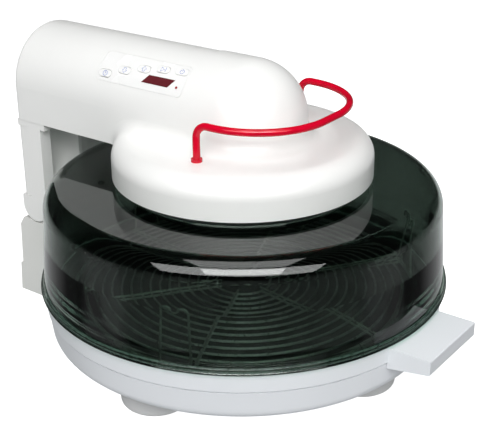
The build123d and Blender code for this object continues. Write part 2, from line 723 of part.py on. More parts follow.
def board_screws():
    """Two screws up through the board into its posts."""
    return [on_flank(screw_z(0, 0, -BOARD_DEPTH - BOARD_THICK, SCREW_R - RUNNING_FIT, 2.6, 8, 1.8),
                     y, BOARD_ANGLE) for y in board_post_y()]


# ---------------------------------------------------------------- lift handle
def handle_rods(radius, z0, z1):
    """Two upright rods where the lift handle enters the disc."""
    return [cylinder_z(radius, z0, z1, x, HANDLE_Y) for x in (-HANDLE_X, HANDLE_X)]


def lift_handle():
    """A bent wire: two legs up out of the disc, then a level loop that sweeps round the front."""
    front = HANDLE_Y - HANDLE_REACH
    points = [
        (-HANDLE_X, HANDLE_Y, HANDLE_BOTTOM),
        (-HANDLE_X, HANDLE_Y, HANDLE_TOP),
        (-HANDLE_X, front, HANDLE_TOP),
        (HANDLE_X, front, HANDLE_TOP),
        (HANDLE_X, HANDLE_Y, HANDLE_TOP),
        (HANDLE_X, HANDLE_Y, HANDLE_BOTTOM),
    ]
    bends = [HANDLE_BEND, HANDLE_LOOP_R, HANDLE_LOOP_R, HANDLE_BEND]
    return wire(points, HANDLE_WIRE_R, bends)


def handle_ferrules():
    """A short collar round each leg where it enters the disc."""
    return [ring_z(HANDLE_WIRE_R + 1.5, HANDLE_WIRE_R + RUNNING_FIT, DISC_TOP, DISC_TOP + 2.5, x, HANDLE_Y)
            for x in (-HANDLE_X, HANDLE_X)]


def handle_nuts():
    """A hexagon nut under the disc on each leg."""
    top = DISC_TOP - HEAD_WALL
    shapes = []
    for x in (-HANDLE_X, HANDLE_X):
        nut = Pos(x, HANDLE_Y, top - 4) * extrude(RegularPolygon(6.0, 6), amount=4)
        shapes.append(nut - cylinder_z(HANDLE_WIRE_R + RUNNING_FIT, top - 5, top + 1, x, HANDLE_Y))
    return shapes


# ---------------------------------------------------------------- neck, heater and fan guard
def heat_shield():
    """The steel plate between the motor room and the oven."""
    plate = ring_z(DISC_R - HEAD_WALL - SHELL_FIT, SHAFT_R + 3, SHIELD_Z, SHIELD_Z + SHIELD_THICK)
    for x, y in post_places():
        plate -= cylinder_z(SCREW_R + 0.3, SHIELD_Z - 1, SHIELD_Z + SHIELD_THICK + 1, x, y)
    for side in (-1, 1):
        plate -= cylinder_z(TERMINAL_R + SHELL_FIT, SHIELD_Z - 1, SHIELD_Z + 3, side * TERMINAL_X, COIL_R)
    return plate


def shield_screws():
    """One screw up through the shield into each post."""
    return [screw_z(x, y, SHIELD_Z, SCREW_R - RUNNING_FIT, 3.0, SCREW_LENGTH, 1.8) for x, y in post_places()]


def neck_ring():
    """The dark collar that reaches into the dome opening, with a flange that closes the skirt."""
    flange_top = NECK_FLANGE_Z + NECK_WALL
    return turned([
        (NECK_R - NECK_WALL, NECK_BOTTOM),
        (NECK_R, NECK_BOTTOM, 0.8),
        (NECK_R, NECK_FLANGE_Z),
        (DISC_R - HEAD_WALL - SHELL_FIT, NECK_FLANGE_Z),
        (DISC_R - HEAD_WALL - SHELL_FIT, flange_top),
        (NECK_R, flange_top),
        (NECK_R, SHIELD_Z),
        (NECK_R - NECK_WALL, SHIELD_Z),
    ])


def fan_guard():
    """The slotted plate under the impeller, with a rim that slips inside the neck."""
    outer = NECK_R - NECK_WALL
    top = NECK_BOTTOM + GUARD_THICK
    guard = cylinder_z(outer, NECK_BOTTOM, top)
    guard += ring_z(outer, outer - 1, NECK_BOTTOM, NECK_BOTTOM + 5)
    for angle in around(GUARD_SLOTS):
        for start, end in GUARD_RINGS:
            slot = box(start, end, -GUARD_SLOT_WIDTH / 2, GUARD_SLOT_WIDTH / 2, NECK_BOTTOM - 1, top + 1)
            guard -= Rot(0, 0, angle) * slot
    return guard


def heating_coil():
    """A round tube element in one open turn about the impeller."""
    section = make_face(Plane.XZ * Pos(COIL_R, COIL_Z) * Circle(COIL_ROD_R))
    turn = revolve(section, Axis.Z, 360 - COIL_OPENING)
    return Rot(0, 0, 90 + COIL_OPENING / 2) * turn


def coil_terminals():
    """Two ceramic posts in the coil's opening that carry its ends up through the shield."""
    shapes = []
    for side in (-1, 1):
        x = side * TERMINAL_X
        post = cylinder_z(TERMINAL_R, COIL_Z - COIL_ROD_R, SHIELD_Z + 6, x, COIL_R)
        post += cylinder_z(1.2, SHIELD_Z + 5, SHIELD_Z + 11, x, COIL_R)
        shapes.append(post)
    return shapes


def coil_brackets():
    """Three steel straps that hang the coil from the shield."""
    shapes = []
    for angle in around(3, 30):
        strap = box(COIL_R - 1.5, COIL_R + 1.5, -4, 4, COIL_Z + COIL_ROD_R, SHIELD_Z)
        shapes.append(Rot(0, 0, angle) * strap)
    return shapes


def temperature_probe():
    """A thin rod between the coil and the neck that feels the air."""
    x = -(COIL_R + NECK_R - NECK_WALL) / 2 - 1
    return cylinder_z(2.0, NECK_BOTTOM + 6, SHIELD_Z, x, 0)


# ---------------------------------------------------------------- motor and its rotor
def motor_stack():
    """The laminated stator, a square block with a round bore."""
    stack = box(-STACK_HALF, STACK_HALF, -STACK_HALF, STACK_HALF, STACK_Z0, STACK_Z1)
    stack -= cylinder_z(ROTOR_R + AIR_GAP, STACK_Z0 - 1, STACK_Z1 + 1)
    stack -= box(ROTOR_R + 6, ROTOR_R + 10, -10, 10, STACK_Z0 - 1, STACK_Z1 + 1)
    stack -= box(STACK_HALF - 0.1, STACK_HALF + 1, -10, 10, STACK_Z0 - 1, STACK_Z1 + 1)
    for x, y in motor_bolt_places():
        stack -= cylinder_z(SCREW_R + 0.2, STACK_Z0 - 1, STACK_Z1 + 1, x, y)
    return stack


def motor_bolt_places():
    """Corners of the stator where its long bolts pass."""
    c = STACK_HALF - 5
    return [(-c, -c), (c, -c), (c, c), (-c, c)]


def motor_winding():
    """The copper coil, wound as a flat bobbin above and below one leg of the stack."""
    outer = box(ROTOR_R + 3, STACK_HALF - 1, -14, 14, STACK_Z1, STACK_Z1 + 3.5)
    return [outer, Pos(0, 0, STACK_Z0 - STACK_Z1 - 3.5) * outer]


def motor_bracket(z, legs):
    """A bearing plate; the lower one stands on four legs on the shield."""
    half = STACK_HALF
    plate = box(-half, ROTOR_R + 1, -half, half, z, z + 2)
    plate += box(ROTOR_R, half, -half, -18, z, z + 2)
    plate += box(ROTOR_R, half, 18, half, z, z + 2)
    plate -= cylinder_z(BEARING_R, z - 1, z + 3)
    for x, y in motor_bolt_places():
        foot = SHIELD_Z + SHIELD_THICK if legs else STACK_Z1
        top = STACK_Z0 if legs else z + 1
        plate += cylinder_z(4.0, foot, top, x, y)
        plate -= cylinder_z(SCREW_R + 0.2, foot - 1, z + 20, x, y)
    return plate


def motor_bearings():
    """Two bronze bushes in the bearing plates."""
    return [ring_z(BEARING_R, SHAFT_R + RUNNING_FIT, z - 2, z + 4) for z in (LOWER_PLATE_Z, UPPER_PLATE_Z)]


def motor_bolts():
    """Four long bolts down through both plates and the stack."""
    top = UPPER_PLATE_Z + 2
    length = top - SHIELD_Z - SHIELD_THICK - 0.5
    return [screw_z(x, y, top, SCREW_R, 3.0, length, 1.8, up=False) for x, y in motor_bolt_places()]


def motor_rotor():
    """The squirrel-cage rotor on the shaft."""
    return ring_z(ROTOR_R, SHAFT_R, STACK_Z0 + 1, STACK_Z1 - 1)


def motor_shaft():
    """The steel shaft from the impeller up to the cooling fan."""
    return cylinder_z(SHAFT_R, IMPELLER_Z0 - 1.5, COOLING_Z0 + 7)


def impeller():
    """The hot-air fan: a back plate with curved-in blades below it."""
    back = cylinder_z(IMPELLER_R, IMPELLER_Z1 - 1.2, IMPELLER_Z1)
    hub = cylinder_z(8.0, IMPELLER_Z0, IMPELLER_Z1 + 1)
    shapes = [back, hub]
    for angle in around(IMPELLER_BLADES):
        blade = box(0, IMPELLER_R - 14, -0.6, 0.6, IMPELLER_Z0, IMPELLER_Z1 - 0.5)
        shapes.append(Rot(0, 0, angle) * Pos(12, 0, 0) * Rot(0, 0, 18) * blade)
    body = fused(shapes)
    return body - cylinder_z(SHAFT_R, IMPELLER_Z0 - 1, IMPELLER_Z1 + 2)


def impeller_nut():
    """The nut that holds the impeller on the end of the shaft."""
    nut = Pos(0, 0, IMPELLER_Z0 - 1.2) * extrude(RegularPolygon(5.5, 6), amount=1.2)
    return nut - cylinder_z(SHAFT_R, IMPELLER_Z0 - 3, IMPELLER_Z0 + 1)


def cooling_fan():
    """A small fan above the motor that cools it."""
    shapes = [cylinder_z(7.0, COOLING_Z0, COOLING_Z0 + 6)]
    for angle in around(6):
        blade = box(6, COOLING_FAN_R, -4, 4, -0.5, 0.5)
        shapes.append(Pos(0, 0, COOLING_Z0 + 3) * Rot(0, 0, angle) * Rot(28, 0, 0) * blade)
    return fused(shapes) - cylinder_z(SHAFT_R, COOLING_Z0 - 1, COOLING_Z0 + 8)


# ---------------------------------------------------------------- leg of the head
def lug_slots():
    """The room that the two fixed lugs need in the knuckle; it is open below and behind for the tilt."""
    half = LUG_WIDTH / 2 + LUG_CLEARANCE
    reach = LUG_R + LUG_CLEARANCE
    return [box(side * LUG_X - half, side * LUG_X + half, HINGE_Y - reach, HINGE_Y + 2 * KNUCKLE_R,
                HINGE_Z - 2 * KNUCKLE_R, HINGE_Z + reach) for side in (-1, 1)]


def leg_channel():
    """The tray that closes the arm, and the front of the leg with two flutes, a rib and the knuckle."""
    half = LEG_HALF_WIDTH
    tray_half = ARM_HALF_WIDTH - HEAD_WALL - SHELL_FIT
    tray = box(-tray_half, tray_half, 60, ARM_BACK_Y - HEAD_WALL - SHELL_FIT,
               ARM_SEAM_Z, ARM_SEAM_Z + TRAY_THICK)
    tray -= cylinder_z(DISC_R + SHELL_FIT, ARM_SEAM_Z - 1, ARM_SEAM_Z + TRAY_THICK + 1)
    lip = box(-half, half, LIP_FRONT_Y, ARM_BACK_Y - LIP_INSET, LIP_BOTTOM_Z, ARM_SEAM_Z)
    front = box(-half, half, LEG_FRONT_Y, LEG_SEAM_Y, HINGE_Z, LIP_BOTTOM_Z)
    knuckle = slab_x([
        (LEG_FRONT_Y, KNUCKLE_TOP),
        (HINGE_Y - KNUCKLE_R + 0.5, HINGE_Z - KNUCKLE_R + 0.5, KNUCKLE_R - 1),
        (HINGE_Y + KNUCKLE_R, HINGE_Z - KNUCKLE_R + 0.5, KNUCKLE_R - 1),
        (HINGE_Y + KNUCKLE_R - 0.8, KNUCKLE_TOP),
    ], -half, half)
    leg = fused([tray, lip, front, knuckle])
    wire_way = box(-30, 30, LEG_SEAM_Y - 5, ARM_BACK_Y - HEAD_WALL - 4, LIP_BOTTOM_Z - 1,
                   ARM_SEAM_Z + TRAY_THICK + 1)
    inner = box(-half + LEG_WALL, half - LEG_WALL, LEG_SEAM_Y - 5, LEG_SEAM_Y + 1, KNUCKLE_TOP, LIP_BOTTOM_Z)
    leg -= wire_way
    leg -= inner
    flute_r = ((FLUTE_WIDTH / 2) ** 2 + FLUTE_DEPTH ** 2) / (2 * FLUTE_DEPTH)
    for side in (-1, 1):
        x = side * (RIB_WIDTH + FLUTE_WIDTH) / 2
        leg -= cylinder_z(flute_r, FLUTE_BOTTOM, LIP_BOTTOM_Z, x, LEG_FRONT_Y + FLUTE_DEPTH - flute_r)
    for slot in lug_slots():
        leg -= slot
    leg -= cylinder_x(PIN_R + RUNNING_FIT, -half + LEG_WALL, half + 1, HINGE_Y, HINGE_Z)
    leg -= cylinder_x(PIN_CAP_R, half - PIN_CAP_DEPTH, half + 1, HINGE_Y, HINGE_Z)
    for x, y in boss_places():
        leg -= cylinder_z(SCREW_R + 0.2, LIP_BOTTOM_Z - 1, ARM_SEAM_Z + TRAY_THICK + 1, x, y)
    return leg


def leg_cover():
    """The rear cover of the leg: a shallow shell with rounded back edges and a window for the lever."""
    half = LEG_HALF_WIDTH - 0.4
    back = ARM_BACK_Y - 0.2
    z0 = KNUCKLE_TOP + SHELL_FIT
    z1 = LIP_BOTTOM_Z - 0.05
    cover = box(-half, half, LEG_SEAM_Y, back, z0, z1)
    cover = fillet(cover.edges().filter_by(Axis.Z).sort_by(Axis.Y)[-2:], 4.0)
    cover -= box(-half + LEG_WALL, half - LEG_WALL, LEG_SEAM_Y - 1, back - LEG_WALL, z0 - 1, z1 - LEG_WALL)
    ear_places = [side * (LEVER_HALF_WIDTH + LEVER_GAP + 1.5) for side in (-1, 1)]
    ears = [box(x - 1.5, x + 1.5, LEVER_PIN_Y - 4, back - 1, z0, LEVER_PIN_Z + 5) for x in ear_places]
    cover = fused([cover] + ears)
    cover -= box(-LEVER_HALF_WIDTH - LEVER_GAP, LEVER_HALF_WIDTH + LEVER_GAP, back - LEG_WALL - 1, back + 1,
                 z0 - 1, LEVER_TOP_Z + 2 * LEVER_GAP)
    cover -= cylinder_x(LEVER_PIN_R, -LEVER_HALF_WIDTH - 6, LEVER_HALF_WIDTH + 6, LEVER_PIN_Y, LEVER_PIN_Z)
    return cover


def thumb_lever():
    """The latch lever at the back of the leg: a wedge whose top is pressed in with the thumb."""
    profile = [
        (LEVER_PIN_Y - 2.5, LEVER_BOTTOM_Z + 1.0, 0.8),
        (LEVER_PIN_Y + 4.5, LEVER_BOTTOM_Z, 0.8),
        (LEVER_PIN_Y + 6.5, LEVER_BOTTOM_Z + 2.5, 1.5),
        (ARM_BACK_Y + LEVER_PROUD, LEVER_TOP_Z - 6.5, 3.0),
        (ARM_BACK_Y + LEVER_PROUD - 1.5, LEVER_TOP_Z - 1.5, 2.5),
        (ARM_BACK_Y + 2.5, LEVER_TOP_Z, 2.0),
        (LEVER_PIN_Y - 2.0, LEVER_TOP_Z, 1.0),
    ]
    lever = slab_x(profile, -LEVER_HALF_WIDTH, LEVER_HALF_WIDTH)
    return lever - cylinder_x(LEVER_PIN_R + RUNNING_FIT, -LEVER_HALF_WIDTH - 1, LEVER_HALF_WIDTH + 1,
                              LEVER_PIN_Y, LEVER_PIN_Z)


def lever_pin():
    """The steel pin on which the thumb lever rocks."""
    return cylinder_x(LEVER_PIN_R, -LEVER_HALF_WIDTH - 3.5, LEVER_HALF_WIDTH + 3.5, LEVER_PIN_Y, LEVER_PIN_Z)


def lever_spring():
    """A leaf spring on the leg that pushes the lever out."""
    root_y = LEG_SEAM_Y - 5
    return slab_x([
        (root_y, LEVER_PIN_Z + 4),
        (root_y + 0.6, LEVER_PIN_Z + 4),
        (root_y + 0.6, LEVER_PIN_Z + 9),
        (LEVER_PIN_Y - 6.0, LEVER_TOP_Z - 3),
        (LEVER_PIN_Y - 6.6, LEVER_TOP_Z - 3),
        (root_y, LEVER_PIN_Z + 10),
    ], -5, 5)


def tray_screws():
    """Four screws up through the tray into the arm's screw blocks."""
    return [screw_z(x, y, ARM_SEAM_Z, SCREW_R - RUNNING_FIT, 3.0, BOSS_HEIGHT - 4, 1.8)
            for x, y in boss_places()]


# ---------------------------------------------------------------- hinge and stand
def hinge_bracket():
    """A plate in the stand with two lugs that rise through its top and carry the pin."""
    plate = box(-LUG_X - LUG_WIDTH, LUG_X + LUG_WIDTH, HINGE_Y - LUG_HALF, HINGE_Y + LUG_HALF + 4,
                BRACKET_Z, BRACKET_Z + BRACKET_THICK)
    shapes = [plate]
    for side in (-1, 1):
        x0 = side * LUG_X - LUG_WIDTH / 2
        x1 = side * LUG_X + LUG_WIDTH / 2
        shapes.append(box(x0, x1, HINGE_Y - LUG_HALF, HINGE_Y + LUG_HALF, BRACKET_Z, HINGE_Z))
        shapes.append(cylinder_x(LUG_R, x0, x1, HINGE_Y, HINGE_Z))
    bracket = fused(shapes)
    return bracket - cylinder_x(BUSH_R, -LEG_HALF_WIDTH, LEG_HALF_WIDTH, HINGE_Y, HINGE_Z)


def hinge_bushes():
    """A flangeless bush in each lug."""
    shapes = []
    for side in (-1, 1):
        x0 = side * LUG_X - LUG_WIDTH / 2
        x1 = side * LUG_X + LUG_WIDTH / 2
        shapes.append(cylinder_x(BUSH_R, x0, x1, HINGE_Y, HINGE_Z)
                      - cylinder_x(PIN_R, x0 - 1, x1 + 1, HINGE_Y, HINGE_Z))
    return shapes


def hinge_pin():
    """The steel pin across the leg, held by the lugs."""
    return cylinder_x(PIN_R, -LEG_HALF_WIDTH + LEG_WALL + 0.5, LEG_HALF_WIDTH - PIN_CAP_DEPTH - 0.5,
                      HINGE_Y, HINGE_Z)


def pin_cap():
    """The plug that covers the hole for the pin on the right side of the leg."""
    return cylinder_x(PIN_CAP_R, LEG_HALF_WIDTH - PIN_CAP_DEPTH, LEG_HALF_WIDTH, HINGE_Y, HINGE_Z)


def stand_solid(inset, x_half):
    """The filled column of the stand, or the same set in by a wall and open below."""
    top = STAND_TOP - inset
    bottom = STAND_BOTTOM if inset == 0 else -5
    plinth_y = STAND_BACK_Y + 2
    return slab_x([
        (STAND_FRONT_Y + inset, bottom),
        (STAND_FRONT_Y + inset, top),
        (STAND_TOP_BACK_Y - inset / 2, top),
        (STAND_BACK_Y - inset, top - STAND_TOP_SLOPE + inset / 3),
        (plinth_y - inset, PLINTH_Z + 1),
        (plinth_y + PLINTH_PROUD - inset, PLINTH_Z),
        (STAND_FOOT_Y - inset, bottom),
    ], -x_half, x_half)


def stand_hollow():
    """The column with its inside, the cradle and the passages of the lugs and the tab cut away."""
    column = stand_solid(0, LEG_HALF_WIDTH) - stand_solid(STAND_WALL, LEG_HALF_WIDTH - STAND_WALL)
    column -= cylinder_x(KNUCKLE_R + LUG_CLEARANCE, -60, 60, HINGE_Y, HINGE_Z)
    for side in (-1, 1):
        x = side * LUG_X
        half = LUG_WIDTH / 2 + SHELL_FIT
        column -= box(x - half, x + half, HINGE_Y - LUG_HALF - SHELL_FIT, HINGE_Y + LUG_HALF + SHELL_FIT,
                      STAND_TOP - 2 * STAND_WALL, STAND_TOP + 5)
    column -= box(-TAB_WIDTH / 2 - TAB_FIT, TAB_WIDTH / 2 + TAB_FIT, STAND_FRONT_Y - 1,
                  STAND_FRONT_Y + STAND_WALL + 1, TAB_TOP - TAB_THICK - 2 * TAB_FIT - 1.2, TAB_TOP + TAB_FIT)
    return column


def stand_screw_places():
    """Four places on the back of the stand: across and up."""
    return [(side * STAND_SCREW_X, z) for side in (-1, 1) for z in STAND_SCREW_Z]


def stand_front():
    """The front shell of the stand, with the slot for the bowl's rear tab and four screw posts."""
    front = stand_hollow() - box(-60, 60, STAND_SEAM_Y, 300, -10, 200)
    posts = [cylinder_y(POST_HALF, STAND_FRONT_Y + STAND_WALL / 2, POST_END_Y, x, z)
             for x, z in stand_screw_places()]
    front = fused([front] + posts)
    for x, z in stand_screw_places():
        front -= cylinder_y(SCREW_R, POST_END_Y - SCREW_LENGTH - 6, POST_END_Y + 1, x, z)
    return front


def stand_back():
    """The rear shell of the stand, with screw holes and the hole of the cord inlet."""
    back = stand_hollow() - box(-60, 60, 0, STAND_SEAM_Y, -10, 200)
    for x, z in stand_screw_places():
        back -= cylinder_y(SCREW_R + 0.4, POST_END_Y - 1, 300, x, z)
        back -= cylinder_y(3.6, SCREW_SEAT_Y, 300, x, z)
        back -= cylinder_y(POST_HALF + SHELL_FIT, STAND_SEAM_Y - 1, POST_END_Y + SHELL_FIT, x, z)
    back -= cylinder_y(INLET_R, STAND_BACK_Y - 5, 300, 0, INLET_Z)
    return back


def stand_screws():
    """Four screws from the back of the stand into the posts of its front shell."""
    shapes = []
    for x, z in stand_screw_places():
        head = cylinder_y(3.2, SCREW_SEAT_Y, SCREW_SEAT_Y + 1.5, x, z)
        shank = cylinder_y(SCREW_R - RUNNING_FIT, POST_END_Y - SCREW_LENGTH, SCREW_SEAT_Y + 0.5, x, z)
        slot = box(x - 3.2, x + 3.2, SCREW_SEAT_Y + 0.8, SCREW_SEAT_Y + 2, z - 0.4, z + 0.4)
        shapes.append(head + shank - slot)
    return shapes


def cord_inlet():
    """The rubber grommet in the back of the stand."""
    grommet = cylinder_y(INLET_R, SCREW_SEAT_Y - 2, STAND_FOOT_Y - 1.6, 0, INLET_Z)
    grommet += cylinder_y(INLET_R + 2, SCREW_SEAT_Y - 4, SCREW_SEAT_Y - 2, 0, INLET_Z)
    return grommet - cylinder_y(INLET_R - 2.5, SCREW_SEAT_Y - 6, STAND_FOOT_Y + 1, 0, INLET_Z)


def stand_bottom():
    """The plate that closes the stand from below."""
    fit = SHELL_FIT + STAND_WALL
    return box(-LEG_HALF_WIDTH + fit, LEG_HALF_WIDTH - fit, STAND_FRONT_Y + fit, STAND_FOOT_Y - fit - 1.2,
               STAND_BOTTOM + 1, STAND_BOTTOM + 1 + STAND_WALL)


def stand_pads():
    """Two rubber strips under the stand, which rest on the table."""
    return [box(x - 8, x + 8, STAND_FRONT_Y + 7, STAND_FOOT_Y - 8, 0, STAND_BOTTOM + 1) for x in (-32, 32)]


# ---------------------------------------------------------------- the whole object
def all_nodes():
    """Every sub-part by its name; a list is a group of separate solids in one node."""
    nodes = {
        "base_housing": base_housing(),
        "feet": feet(),
        "foot_screws": foot_screws(),
        "dome": dome(),
        "drip_pan": drip_pan(),
        "wire_rack": wire_rack(),
        "rack_uprights": rack_uprights(),
        "rack_feet": rack_feet(),
        "stand_front": stand_front(),
        "stand_back": stand_back(),
        "stand_bottom": stand_bottom(),
        "stand_pads": stand_pads(),
        "stand_screws": stand_screws(),
        "cord_inlet": cord_inlet(),
        "hinge_bracket": hinge_bracket(),
        "hinge_bushes": hinge_bushes(),
        "hinge_pin": hinge_pin(),
        "pin_cap": pin_cap(),
        "leg_channel": leg_channel(),
        "leg_cover": leg_cover(),
        "thumb_lever": thumb_lever(),
        "lever_pin": lever_pin(),
        "lever_spring": lever_spring(),
        "tray_screws": tray_screws(),
        "head_housing": head_housing(),
        "control_overlay": control_overlay(),
        "display_window": display_window(),
        "status_lamp": status_lamp(),
        "control_board": control_board(),
        "display_module": display_module(),
        "key_switches": key_switches(),
        "board_screws": board_screws(),
        "lift_handle": lift_handle(),
        "handle_ferrules": handle_ferrules(),
        "handle_nuts": handle_nuts(),
        "neck_ring": neck_ring(),
        "heat_shield": heat_shield(),
        "shield_screws": shield_screws(),
        "fan_guard": fan_guard(),
        "heating_coil": heating_coil(),
        "coil_terminals": coil_terminals(),
        "coil_brackets": coil_brackets(),
        "temperature_probe": temperature_probe(),
        "motor_stack": motor_stack(),
        "motor_winding": motor_winding(),
        "motor_lower_bracket": motor_bracket(LOWER_PLATE_Z, True),
        "motor_upper_bracket": motor_bracket(UPPER_PLATE_Z, False),
        "motor_bearings": motor_bearings(),
        "motor_bolts": motor_bolts(),
        "motor_rotor": motor_rotor(),
        "motor_shaft": motor_shaft(),
        "impeller": impeller(),
        "impeller_nut": impeller_nut(),
        "cooling_fan": cooling_fan(),
    }
    for index in range(KEY_COUNT):
        nodes[f"key_{index + 1}"] = key(index)
    return nodes


def write_nodes(nodes):
    """One STEP file for each node."""
    os.makedirs("parts", exist_ok=True)
    for name, shape in nodes.items():
        if isinstance(shape, list):
            shape = Compound(children=shape)
        export_step(Pos(0, AXIS_Y, 0) * shape, f"parts/{name}.step")


if __name__ == "__main__":
    write_nodes(all_nodes())
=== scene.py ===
# %% [markdown]
# # A countertop dehydrator with a hinged power head
# The shape of this object is already fixed: every solid piece comes from an engineering
# model, and this lesson gives those pieces their light, colour and surface.
# A frame is loaded first, because all later pieces take their place from it.

# %% Load the frame
import json
import math

import bpy
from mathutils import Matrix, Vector


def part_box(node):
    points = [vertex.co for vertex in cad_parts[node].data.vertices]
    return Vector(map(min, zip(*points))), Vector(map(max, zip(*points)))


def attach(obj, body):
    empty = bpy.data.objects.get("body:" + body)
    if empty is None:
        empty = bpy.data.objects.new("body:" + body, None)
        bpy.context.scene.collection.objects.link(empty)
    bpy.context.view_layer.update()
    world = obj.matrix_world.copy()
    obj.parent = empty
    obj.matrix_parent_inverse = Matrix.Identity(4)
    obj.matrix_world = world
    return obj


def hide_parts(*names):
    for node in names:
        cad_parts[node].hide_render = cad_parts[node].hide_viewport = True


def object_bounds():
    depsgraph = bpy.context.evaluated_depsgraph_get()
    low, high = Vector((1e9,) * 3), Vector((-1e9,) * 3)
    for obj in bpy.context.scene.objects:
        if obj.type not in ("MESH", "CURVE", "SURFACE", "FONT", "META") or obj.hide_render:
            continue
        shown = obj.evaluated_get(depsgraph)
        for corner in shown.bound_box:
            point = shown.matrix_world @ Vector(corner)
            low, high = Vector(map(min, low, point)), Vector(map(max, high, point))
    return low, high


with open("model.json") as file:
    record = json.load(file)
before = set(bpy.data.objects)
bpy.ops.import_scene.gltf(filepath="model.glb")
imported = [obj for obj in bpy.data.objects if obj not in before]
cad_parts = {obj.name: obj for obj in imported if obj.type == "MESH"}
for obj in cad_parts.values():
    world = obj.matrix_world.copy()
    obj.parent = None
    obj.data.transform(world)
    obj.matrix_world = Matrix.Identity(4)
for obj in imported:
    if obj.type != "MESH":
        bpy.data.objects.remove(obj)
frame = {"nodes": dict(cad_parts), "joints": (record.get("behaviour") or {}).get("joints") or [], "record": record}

CAD_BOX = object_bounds()
NODES = frame["nodes"]
MM = 0.001
print("box of the solid model", [[round(v, 4) for v in corner] for corner in CAD_BOX])

# %% [markdown]
# ## The camera
# A portrait of a product is taken from a little above and from one corner, so that the top,
# the front and one side all show. A long lens keeps the upright edges almost parallel.
# The camera is built first, because light can only be judged from where it stands.

# %% Set up the camera
AXIS_Y = sum(corner[1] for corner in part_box("dome")) / 2   # the dome's axis, from the origin
CAMERA_PLACE = Vector((-0.6973, -0.5197 + AXIS_Y, 0.5063))
CAMERA_LOOKS = Vector((0.7354, 0.5406, -0.4086))
CAMERA_ROLL = math.radians(-0.36)
LENS_MM = 79.94
SENSOR_MM = 36
NEAREST = 0.01        # nothing closer to the lens than this is drawn


def studio_camera():
    """A long-lens camera, tipped by a hair because a hand-held one is never quite level."""
    lens = bpy.data.cameras.new("studio_camera")
    lens.lens = LENS_MM
    lens.sensor_width = SENSOR_MM
    lens.clip_start = NEAREST
    camera = bpy.data.objects.new("studio_camera", lens)
    bpy.context.scene.collection.objects.link(camera)
    camera.location = CAMERA_PLACE
    turn = CAMERA_LOOKS.to_track_quat("-Z", "Y")
    camera.rotation_euler = turn.to_euler()
    camera.rotation_euler.rotate_axis("Z", CAMERA_ROLL)
    bpy.context.scene.camera = camera
    return camera


camera = studio_camera()
bpy.context.scene.view_settings.view_transform = "Standard"
print("camera at", tuple(camera.location))

# %% [markdown]
# ## The floor and the room
# White products are shot on a white sweep that is lit so strongly that it loses its tone.
# Here the floor is a broad plane with a little light of its own, so it stays paler than the
# white plastic, and the soft shadow under the feet still shows.
# The floor's paper only shows itself; the light that a real floor throws back comes from the
# room below, where it can be kept dim in front of the object, so that the dome looks dark.

# %% Lay the floor
FLOOR_SIZE = 12.0
FLOOR_TONE = 0.9
FLOOR_DULLNESS = 0.9
FLOOR_OWN_LIGHT = 0.8


def pale_floor():
    """A broad flat sheet under the feet: plain paper that gives off a little light of its own."""
    half = FLOOR_SIZE / 2
    mesh = bpy.data.meshes.new("floor")
    level = CAD_BOX[0][2]
    corners = [(-half, -half, level), (half, -half, level), (half, half, level), (-half, half, level)]
    mesh.from_pydata(corners, [], [(0, 1, 2, 3)])
    floor = bpy.data.objects.new("floor", mesh)
    bpy.context.scene.collection.objects.link(floor)
    paint = bpy.data.materials.new("floor_paper")
    paint.use_nodes = True
    shader = paint.node_tree.nodes["Principled BSDF"]
    shader.inputs["Base Color"].default_value = (FLOOR_TONE, FLOOR_TONE, FLOOR_TONE, 1)
    shader.inputs["Roughness"].default_value = FLOOR_DULLNESS
    shader.inputs["Emission Color"].default_value = (1, 1, 1, 1)
    shader.inputs["Emission Strength"].default_value = FLOOR_OWN_LIGHT
    mesh.materials.append(paint)
    floor.visible_glossy = False
    floor.visible_diffuse = False


pale_floor()
print("floor", FLOOR_SIZE, "m across")

# %% Light the room
ROOM_COLOUR = (0.97, 0.99, 1.0)
ROOM_DIM = 0.018      # the unlit part of the room, as the dome mirrors it
# The floor's glow as the dome mirrors it: places from in front of the object (0) to behind it
# (1), each with its strength. The side walls of the dome mirror the darker middle.
FLOOR_GLOW = [(0.32, 0.0), (0.38, 0.24), (0.52, 0.22), (0.58, 0.03), (0.68, 0.05), (0.95, 0.8)]
ROOM_PALE = 1.05      # the wall, where it is seen directly
FILL = 0.20           # soft light that fills the shadows from all sides
FLOOR_FILL = 0.50     # extra soft light thrown up by the floor
HORIZON = (0.02, -0.12)    # the floor fades in between these heights of the looking direction


def faded(nodes, links, value, start, end):
    """A number that goes from 0 to 1 as the value goes from start to end."""
    fade = nodes.new("ShaderNodeMapRange")
    fade.inputs["From Min"].default_value = start
    fade.inputs["From Max"].default_value = end
    links.new(value, fade.inputs["Value"])
    return fade.outputs["Result"]


def stepped(nodes, links, value, stops):
    """A grey level that follows the stops as the value goes from -1 to 1."""
    spread = faded(nodes, links, value, -1, 1)
    ramp = nodes.new("ShaderNodeValToRGB")
    points = ramp.color_ramp.elements
    for _ in stops[2:]:
        points.new(1.0)
    for point, (position, level) in zip(points, stops):
        point.position = position
        point.color = (level, level, level, 1)
    links.new(spread, ramp.inputs["Fac"])
    return ramp.outputs["Color"]


def combined(nodes, links, operation, first, second):
    """Two numbers joined by that operation; each is a socket or a plain number."""
    step = nodes.new("ShaderNodeMath")
    step.operation = operation
    for socket, value in zip(step.inputs, (first, second)):
        if isinstance(value, (int, float)):
            socket.default_value = value
        else:
            links.new(value, socket)
    return step.outputs["Value"]


